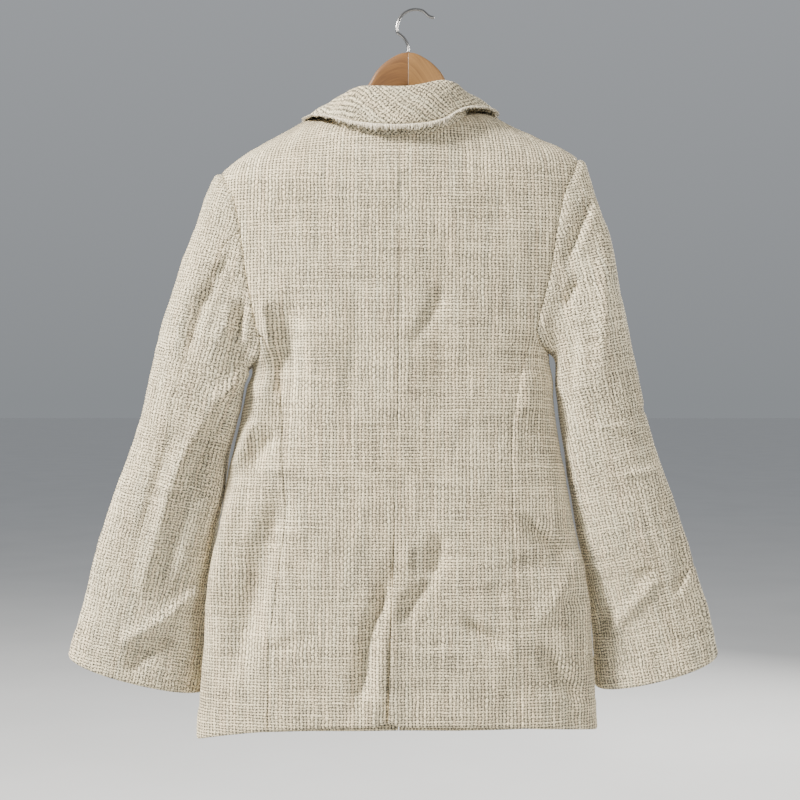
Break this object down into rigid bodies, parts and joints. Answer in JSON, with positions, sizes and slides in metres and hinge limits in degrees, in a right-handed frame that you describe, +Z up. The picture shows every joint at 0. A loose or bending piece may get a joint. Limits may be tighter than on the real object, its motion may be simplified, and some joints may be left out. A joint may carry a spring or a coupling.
{
  "type": "tweed jacket on a coat hanger",
  "caption": "Hip-length collared tweed jacket with long sleeves, a frayed collar edge and a back vent, hanging from a wooden coat hanger with a wire hook.",
  "frame": {"origin": "inside top of the hook, where the hanger bears on a peg or rail", "axes": "+Z up along the hanging jacket; the jacket's back faces -Y and its front faces +Y; the wearer's left is at -X"},
  "size_m": [0.7723, 0.1163, 0.8713],
  "materials": {
    "tweed": "coarse cream plain-weave wool tweed, matte",
    "fringe": "frayed wool threads, matte",
    "wood": "satin varnish",
    "steel": "polished wire"
  },
  "bodies": {
    "root": {"back_left": "tweed", "back_right": "tweed", "vent_underlap": "tweed", "side_left": "tweed", "side_right": "tweed", "front_left": "tweed", "front_right": "tweed", "lapel_left": "tweed", "lapel_right": "tweed", "collar": "tweed", "top_sleeve_left": "tweed", "under_sleeve_left": "tweed", "top_sleeve_right": "tweed", "under_sleeve_right": "tweed", "collar_fringe": "fringe", "hanger_arm_left": "wood", "hanger_arm_right": "wood", "hook": "steel"}
  },
  "joints": []
}
